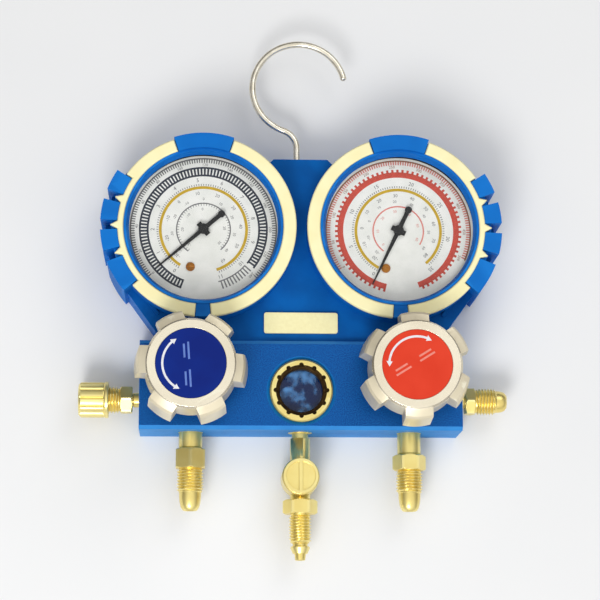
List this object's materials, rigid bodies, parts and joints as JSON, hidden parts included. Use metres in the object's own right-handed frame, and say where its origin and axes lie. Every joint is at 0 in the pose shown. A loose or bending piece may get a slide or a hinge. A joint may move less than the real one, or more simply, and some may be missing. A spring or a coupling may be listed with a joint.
{
  "type": "refrigerant manifold gauge set",
  "caption": "Refrigerant service manifold with low and high pressure gauges, piston valves with lobed knobs, sight glass, flare hose ports and a swivel hanging hook.",
  "frame": {"origin": "centre of the manifold block's back rest face, on the plane that the tool lies on", "axes": "+Z out of the dials, +Y from the block towards the hanging hook, +X towards the high-pressure side"},
  "size_m": [0.1805, 0.2255, 0.052],
  "materials": {
    "blue_anodised_aluminium": "blue anodised, fine satin blast with bright machined edges",
    "blue_plastic": "moulded, fine matte grain",
    "cream_rubber": "moulded, satin",
    "knob_plastic": "champagne silver, semi-gloss",
    "brass": "turned, bright",
    "steel": "zinc plated",
    "hook_steel": "plated wire",
    "label_blue": "printed film, satin",
    "label_red": "printed film, satin",
    "clear_lens": "clear, polished",
    "sight_window": "clear, polished",
    "dial_white": "white printed sheet",
    "pointer_black": "black, matt",
    "case_black": "moulded",
    "bronze_tube": "drawn, satin",
    "seal_rubber": "moulded",
    "white_nylon": "turned"
  },
  "bodies": {
    "manifold": {"manifold_block": "blue_anodised_aluminium", "channel_plug": "brass", "front_housing": "blue_plastic", "rear_housing": "blue_plastic", "housing_screws": "steel", "name_plate": "cream_rubber", "sight_seal": "seal_rubber", "sight_glass": "sight_window", "sight_ring": "brass", "hook_bush": "brass", "centre_tee": "brass", "centre_tee_cap": "brass", "centre_flare_fitting": "brass", "low_side_fitting": "brass", "high_side_fitting": "brass", "high_core_body": "brass", "low_ring_trim": "cream_rubber", "low_bonnet": "brass", "low_gauge_case": "case_black", "low_lens": "clear_lens", "low_dial": "dial_white", "low_gauge_socket": "brass", "low_bourdon_tube": "bronze_tube", "low_movement_frame": "brass", "low_hose_port": "brass", "high_ring_trim": "cream_rubber", "high_bonnet": "brass", "high_gauge_case": "case_black", "high_lens": "clear_lens", "high_dial": "dial_white", "high_gauge_socket": "brass", "high_bourdon_tube": "bronze_tube", "high_movement_frame": "brass", "high_hose_port": "brass"},
    "hook": {"hook": "hook_steel"},
    "low_cap_gasket": {"low_cap_gasket": "seal_rubber"},
    "low_side_cap": {"low_side_cap": "brass"},
    "high_core_pin": {"high_core_pin": "brass"},
    "low_piston": {"low_piston": "white_nylon", "low_piston_seal": "seal_rubber"},
    "low_knob": {"low_stem": "brass", "low_knob": "knob_plastic", "low_knob_label": "label_blue", "low_knob_screw": "steel"},
    "low_pointer": {"low_pointer": "pointer_black", "low_pinion": "brass"},
    "low_sector": {"low_sector_gear": "brass"},
    "low_link": {"low_link": "brass"},
    "low_calibration_screw": {"low_calibration_screw": "brass"},
    "high_piston": {"high_piston": "white_nylon", "high_piston_seal": "seal_rubber"},
    "high_knob": {"high_stem": "brass", "high_knob": "knob_plastic", "high_knob_label": "label_red", "high_knob_screw": "steel"},
    "high_pointer": {"high_pointer": "pointer_black", "high_pinion": "brass"},
    "high_sector": {"high_sector_gear": "brass"},
    "high_link": {"high_link": "brass"},
    "high_calibration_screw": {"high_calibration_screw": "brass"}
  },
  "joints": [
    {"name": "hook_swivel", "type": "hinge", "parent": "manifold", "child": "hook", "pos_m": [-0.0013, 0.094, 0.0125], "axis": [0, 1, 0], "continuous": true},
    {"name": "low_cap_lift", "type": "slide", "parent": "manifold", "child": "low_cap_gasket", "axis": [-1, 0, 0], "range_m": [0, 0.00762]},
    {"name": "low_cap_turn", "type": "hinge", "parent": "low_cap_gasket", "child": "low_side_cap", "pos_m": [-0.085, -0.005, 0.0125], "axis": [-1, 0, 0], "range_deg": [0, 2160]},
    {"name": "high_core_press", "type": "slide", "parent": "manifold", "child": "high_core_pin", "axis": [-1, 0, 0], "range_m": [0, 0.0015], "stiffness_N_per_m": 1500, "springref_m": -0.001},
    {"name": "low_valve_lift", "type": "slide", "parent": "manifold", "child": "low_piston", "axis": [0, 0, 1], "range_m": [0, 0.003]},
    {"name": "low_knob_turn", "type": "hinge", "parent": "low_piston", "child": "low_knob", "pos_m": [-0.046, 0.0045, 0.04], "axis": [0, 0, 1], "range_deg": [0, 720]},
    {"name": "low_pointer_turn", "type": "hinge", "parent": "manifold", "child": "low_pointer", "pos_m": [-0.04125, 0.06605, 0.0255], "axis": [0, 0, 1], "range_deg": [-285, 29], "stiffness_Nm_per_rad": 0.0005},
    {"name": "low_sector_turn", "type": "hinge", "parent": "manifold", "child": "low_sector", "pos_m": [-0.04125, 0.0512, 0.0198], "axis": [0, 0, 1], "range_deg": [-3.2, 31.5]},
    {"name": "low_link_turn", "type": "hinge", "parent": "low_sector", "child": "low_link", "pos_m": [-0.03903, 0.04509, 0.0185], "axis": [0, 0, 1], "range_deg": [-31.5, 3.2]},
    {"name": "low_calibration_turn", "type": "hinge", "parent": "manifold", "child": "low_calibration_screw", "pos_m": [-0.04665, 0.04985, 0.0255], "axis": [0, 0, 1], "range_deg": [-180, 180]},
    {"name": "high_valve_lift", "type": "slide", "parent": "manifold", "child": "high_piston", "axis": [0, 0, 1], "range_m": [0, 0.003]},
    {"name": "high_knob_turn", "type": "hinge", "parent": "high_piston", "child": "high_knob", "pos_m": [0.046, 0.0045, 0.04], "axis": [0, 0, 1], "range_deg": [0, 720]},
    {"name": "high_pointer_turn", "type": "hinge", "parent": "manifold", "child": "high_pointer", "pos_m": [0.04125, 0.06605, 0.0255], "axis": [0, 0, 1], "range_deg": [-310, 12], "stiffness_Nm_per_rad": 0.0005},
    {"name": "high_sector_turn", "type": "hinge", "parent": "manifold", "child": "high_sector", "pos_m": [0.04125, 0.0512, 0.0198], "axis": [0, 0, 1], "range_deg": [-3.2, 31.5]},
    {"name": "high_link_turn", "type": "hinge", "parent": "high_sector", "child": "high_link", "pos_m": [0.04347, 0.04509, 0.0185], "axis": [0, 0, 1], "range_deg": [-31.5, 3.2]},
    {"name": "high_calibration_turn", "type": "hinge", "parent": "manifold", "child": "high_calibration_screw", "pos_m": [0.03585, 0.04985, 0.0255], "axis": [0, 0, 1], "range_deg": [-180, 180]}
  ],
  "couplings": [
    {"joint": "low_cap_lift", "follows": "low_cap_turn", "m_per_rad": 0.00020213},
    {"joint": "low_valve_lift", "follows": "low_knob_turn", "m_per_rad": 0.00023873},
    {"joint": "low_sector_turn", "follows": "low_pointer_turn", "ratio": -0.1},
    {"joint": "low_link_turn", "follows": "low_pointer_turn", "ratio": 0.1},
    {"joint": "high_valve_lift", "follows": "high_knob_turn", "m_per_rad": 0.00023873},
    {"joint": "high_sector_turn", "follows": "high_pointer_turn", "ratio": -0.1},
    {"joint": "high_link_turn", "follows": "high_pointer_turn", "ratio": 0.1}
  ]
}
